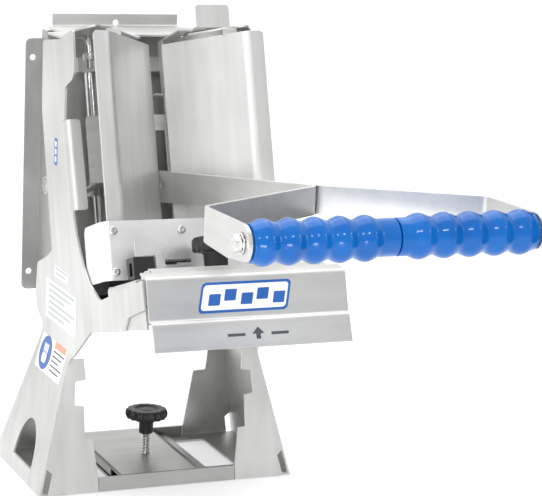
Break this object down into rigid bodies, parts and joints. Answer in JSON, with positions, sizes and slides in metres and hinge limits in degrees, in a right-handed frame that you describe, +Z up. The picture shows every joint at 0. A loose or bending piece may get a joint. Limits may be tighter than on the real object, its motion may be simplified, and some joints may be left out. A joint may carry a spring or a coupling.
{
  "type": "manual produce dicer",
  "caption": "Lever-operated produce dicer: inclined steel chamber with V guards, yoke lever with ribbed blue grips, blade cartridge and flared stand.",
  "frame": {"origin": "underside of the stand's base plate, on the centre line, 26 mm in front of the hold-down screw", "axes": "+X to the machine's right as the user faces it from the front, +Y back to the wall, +Z up; metres"},
  "size_m": [0.254, 0.6497, 0.4517],
  "materials": {
    "brushed_sheet": "brushed stainless sheet, fine vertical grain",
    "bright_steel": "polished stainless bar and fasteners",
    "blue_grip": "glossy blue moulded vinyl",
    "black_plastic": "satin black moulded plastic",
    "white_nylon": "natural nylon"
  },
  "bodies": {
    "root": {"cap_stud": "bright_steel", "cartridge_rail_left": "brushed_sheet", "cartridge_rail_right": "brushed_sheet", "cartridge_roller": "white_nylon", "clamp_nut": "bright_steel", "deck": "brushed_sheet", "front_plate": "brushed_sheet", "front_screw_lower_left": "bright_steel", "front_screw_middle": "bright_steel", "front_screw_upper_left": "bright_steel", "front_screw_upper_right": "bright_steel", "guard_left": "brushed_sheet", "guard_right": "brushed_sheet", "guide_rod_left": "bright_steel", "guide_rod_right": "bright_steel", "hold_down_plate": "brushed_sheet", "latch_bracket": "brushed_sheet", "latch_screw_inner": "bright_steel", "latch_screw_outer": "bright_steel", "lift_guard_pin": "bright_steel", "pivot_collar_left": "bright_steel", "pivot_collar_right": "bright_steel", "pivot_shaft": "bright_steel", "pivot_spacer_left": "bright_steel", "pivot_spacer_right": "bright_steel", "rod_bar_lower": "brushed_sheet", "rod_bar_upper": "brushed_sheet", "side_panel_left": "brushed_sheet", "side_panel_right": "brushed_sheet", "stand_base": "brushed_sheet", "top_cap": "brushed_sheet", "wall_bracket": "brushed_sheet"},
    "lever": {"lever_plate_left": "brushed_sheet", "lever_plate_right": "brushed_sheet", "handle_tube": "bright_steel", "grip_left": "blue_grip", "grip_right": "blue_grip", "handle_washer_left": "bright_steel", "handle_washer_right": "bright_steel", "handle_bolt_left": "bright_steel", "handle_bolt_right": "bright_steel", "lever_bush": "white_nylon"},
    "pusher": {"pusher_carriage": "brushed_sheet", "drive_pin": "bright_steel", "pusher_block": "black_plastic", "guide_bush_left": "white_nylon", "guide_bush_right": "white_nylon", "standoff_front_left": "bright_steel", "standoff_front_right": "bright_steel", "standoff_rear_left": "bright_steel", "standoff_rear_right": "bright_steel"},
    "cartridge": {"cartridge_frame": "black_plastic", "blade_grid": "bright_steel"},
    "lift_guard": {"lift_guard": "brushed_sheet"},
    "handle_latch": {"handle_latch": "brushed_sheet"},
    "cartridge_latch": {"cartridge_latch": "black_plastic"},
    "clamp_knob": {"clamp_knob": "black_plastic", "clamp_stud": "bright_steel"},
    "hold_down_knob": {"hold_down_knob": "black_plastic", "hold_down_stud": "bright_steel"}
  },
  "joints": [
    {"name": "lever_swing", "type": "hinge", "parent": "root", "child": "lever", "pos_m": [0, 0.10899, 0.26425], "axis": [-1, 0, 0], "range_deg": [0, 45]},
    {"name": "pusher_slide", "type": "slide", "parent": "root", "child": "pusher", "axis": [0, 0.309, 0.9511], "range_m": [0, 0.0681]},
    {"name": "cartridge_slide", "type": "slide", "parent": "root", "child": "cartridge", "axis": [0, -0.9511, 0.309], "range_m": [0, 0.1]},
    {"name": "lift_guard_hinge", "type": "hinge", "parent": "root", "child": "lift_guard", "pos_m": [0, -0.19932, 0.24088], "axis": [-1, 0, 0], "range_deg": [0, 95]},
    {"name": "handle_latch_slide", "type": "slide", "parent": "root", "child": "handle_latch", "axis": [-1, 0, 0], "range_m": [0, 0.013]},
    {"name": "cartridge_latch_slide", "type": "slide", "parent": "root", "child": "cartridge_latch", "axis": [0, 0.309, 0.9511], "range_m": [0, 0.008], "stiffness_N_per_m": 150},
    {"name": "clamp_knob_turn", "type": "hinge", "parent": "root", "child": "clamp_knob", "pos_m": [0, -0.15405, 0.22649], "axis": [0, 0.309, 0.9511], "range_deg": [0, 360]},
    {"name": "hold_down_turn", "type": "hinge", "parent": "root", "child": "hold_down_knob", "pos_m": [0, 0.015, 0.0338], "axis": [0, 0, 1], "range_deg": [0, 360]}
  ],
  "couplings": [
    {"joint": "pusher_slide", "follows": "lever_swing", "m_per_rad": 0.08658}
  ]
}
